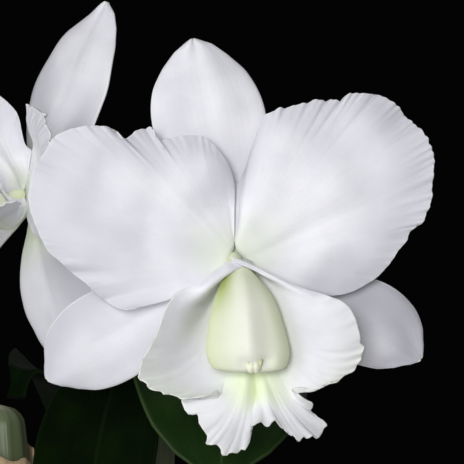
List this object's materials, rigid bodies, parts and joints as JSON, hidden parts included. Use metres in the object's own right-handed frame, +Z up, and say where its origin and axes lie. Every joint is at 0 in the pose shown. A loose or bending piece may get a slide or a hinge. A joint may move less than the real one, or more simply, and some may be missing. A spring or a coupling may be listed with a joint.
{
  "type": "potted orchid",
  "caption": "Flowering orchid with broad white frilled blooms, a greenish throat, leathery leaves and cane-like pseudobulbs, growing in bark in a plain round clay pot.",
  "frame": {"origin": "middle of the pot's flat foot, on the surface that it stands on", "axes": "+Z up, the front bloom faces -Y, +X to the right of someone looking at that bloom"},
  "size_m": [0.262, 0.192, 0.3546],
  "materials": {
    "white_petal": "satin",
    "lip": "satin",
    "column": "satin",
    "leaf": "satin",
    "pseudobulb": "satin",
    "stem": "satin",
    "dry_sheath": "matte",
    "rhizome": "matte",
    "root": "matte",
    "bark": "matte",
    "clay": "matte"
  },
  "bodies": {
    "root": {"front_bloom_dorsal_sepal": "white_petal", "front_bloom_right_sepal": "white_petal", "front_bloom_left_sepal": "white_petal", "front_bloom_right_petal": "white_petal", "front_bloom_left_petal": "white_petal", "front_bloom_lip": "lip", "front_bloom_column": "column", "front_bloom_anther_cap": "lip", "side_bloom_dorsal_sepal": "white_petal", "side_bloom_right_sepal": "white_petal", "side_bloom_left_sepal": "white_petal", "side_bloom_right_petal": "white_petal", "side_bloom_left_petal": "white_petal", "side_bloom_lip": "lip", "side_bloom_column": "column", "side_bloom_anther_cap": "lip", "pseudobulb_1": "pseudobulb", "pseudobulb_2": "pseudobulb", "pseudobulb_3": "pseudobulb", "pseudobulb_4": "pseudobulb", "cane_sheath_1": "dry_sheath", "cane_sheath_2": "dry_sheath", "cane_sheath_3": "dry_sheath", "cane_sheath_4": "dry_sheath", "leaf_1": "leaf", "leaf_2": "leaf", "leaf_3": "leaf", "leaf_4": "leaf", "leaf_5": "leaf", "leaf_6": "leaf", "leaf_7": "leaf", "leaf_8": "leaf", "flower_stem": "stem", "flower_sheath": "stem", "rhizome": "rhizome", "root_1": "root", "root_2": "root", "root_3": "root", "root_4": "root", "pot": "clay", "bark": "bark"}
  },
  "joints": []
}
